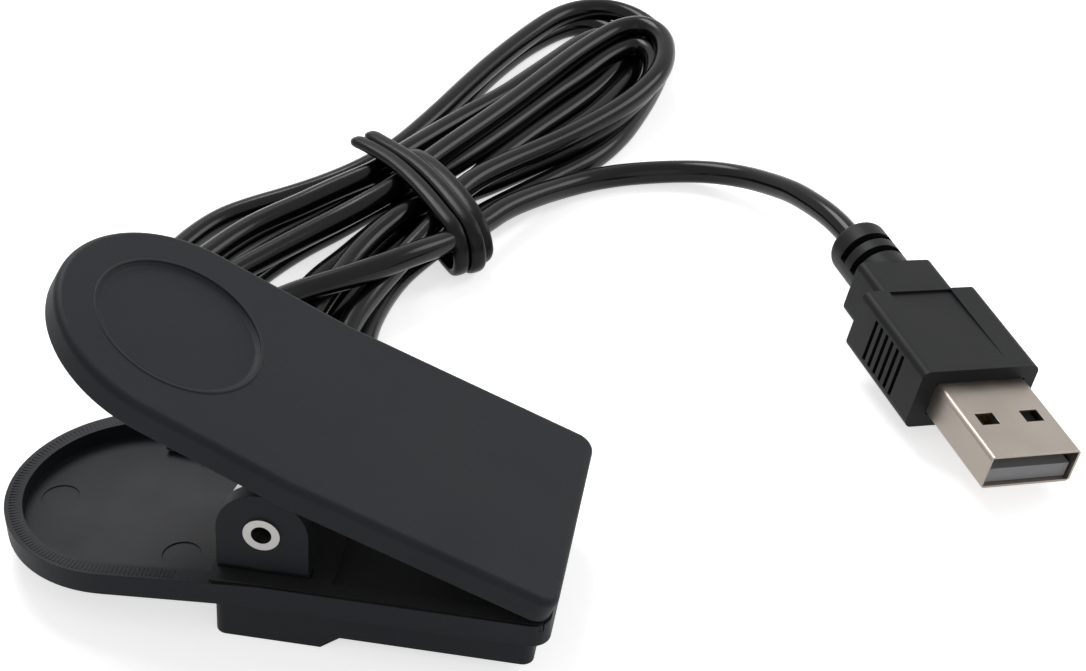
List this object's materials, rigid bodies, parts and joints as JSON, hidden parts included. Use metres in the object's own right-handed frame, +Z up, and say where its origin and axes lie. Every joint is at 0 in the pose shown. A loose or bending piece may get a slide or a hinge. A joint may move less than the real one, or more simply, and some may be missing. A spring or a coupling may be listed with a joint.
{
  "type": "watch charging clip",
  "caption": "Sprung charging clip for a sports watch, with contacts in its lower jaw, a tied cable and a plug.",
  "frame": {"origin": "on the table under the clip's hinge pin, on its middle plane", "axes": "+X towards the clip's square gripping end, +Y to the side where the cable leaves, +Z up; the hinge pin runs along Y"},
  "size_m": [0.1142, 0.1425, 0.0342],
  "materials": {
    "barrel_brass": "plain",
    "board_laminate": "solder mask",
    "cable_jacket": "satin",
    "capacitor_ceramic": "ceramic",
    "chip_plastic": "matt",
    "clip_shell": "fine matt texture",
    "contact_gold": "gold plated",
    "lead_wire_1": "insulated wire",
    "lead_wire_2": "insulated wire",
    "lead_wire_3": "insulated wire",
    "lead_wire_4": "insulated wire",
    "liner_rubber": "matt",
    "pin_steel": "satin",
    "plug_moulding": "fine matt texture",
    "screw_steel": "plain",
    "shell_steel": "satin nickel",
    "spring_steel": "drawn wire",
    "tie_plastic": "satin",
    "tongue_plastic": "matt"
  },
  "bodies": {
    "base": {"lower_jaw": "clip_shell", "jaw_liner": "liner_rubber", "contact_housing": "clip_shell", "cover_screw_1": "screw_steel", "cover_screw_2": "screw_steel", "cover_screw_3": "screw_steel", "cover_screw_4": "screw_steel", "circuit_board": "board_laminate", "power_chip": "chip_plastic", "capacitor_1": "capacitor_ceramic", "capacitor_2": "capacitor_ceramic", "contact_barrel_1": "barrel_brass", "contact_barrel_2": "barrel_brass", "contact_barrel_3": "barrel_brass", "contact_barrel_4": "barrel_brass", "lead_wire_1": "lead_wire_1", "lead_wire_2": "lead_wire_2", "lead_wire_3": "lead_wire_3", "lead_wire_4": "lead_wire_4", "hinge_pin": "pin_steel", "torsion_spring": "spring_steel", "gland": "cable_jacket", "cord_lead": "cable_jacket", "cord_hank": "cable_jacket", "cord_tail": "cable_jacket", "twist_tie": "tie_plastic", "plug_grip": "plug_moulding", "usb_shell": "shell_steel", "usb_tongue": "tongue_plastic", "usb_contact_1": "contact_gold", "usb_contact_2": "contact_gold", "usb_contact_3": "contact_gold", "usb_contact_4": "contact_gold"},
    "upper_lever": {"upper_jaw": "clip_shell", "grip_pad": "liner_rubber"},
    "contact_1": {"contact_plunger_1": "contact_gold"},
    "contact_2": {"contact_plunger_2": "contact_gold"},
    "contact_3": {"contact_plunger_3": "contact_gold"},
    "contact_4": {"contact_plunger_4": "contact_gold"}
  },
  "joints": [
    {"name": "jaw_hinge", "type": "hinge", "parent": "base", "child": "upper_lever", "pos_m": [0, 0, 0.0134], "axis": [0, -1, 0], "range_deg": [0, 32], "stiffness_Nm_per_rad": 0.38, "springref_deg": -37.24, "deforming": ["torsion_spring"]},
    {"name": "contact_1_travel", "type": "slide", "parent": "base", "child": "contact_1", "axis": [0, 0, -1], "range_m": [0, 0.001], "stiffness_N_per_m": 500, "springref_m": -0.0008},
    {"name": "contact_2_travel", "type": "slide", "parent": "base", "child": "contact_2", "axis": [0, 0, -1], "range_m": [0, 0.001], "stiffness_N_per_m": 500, "springref_m": -0.0008},
    {"name": "contact_3_travel", "type": "slide", "parent": "base", "child": "contact_3", "axis": [0, 0, -1], "range_m": [0, 0.001], "stiffness_N_per_m": 500, "springref_m": -0.0008},
    {"name": "contact_4_travel", "type": "slide", "parent": "base", "child": "contact_4", "axis": [0, 0, -1], "range_m": [0, 0.001], "stiffness_N_per_m": 500, "springref_m": -0.0008}
  ]
}
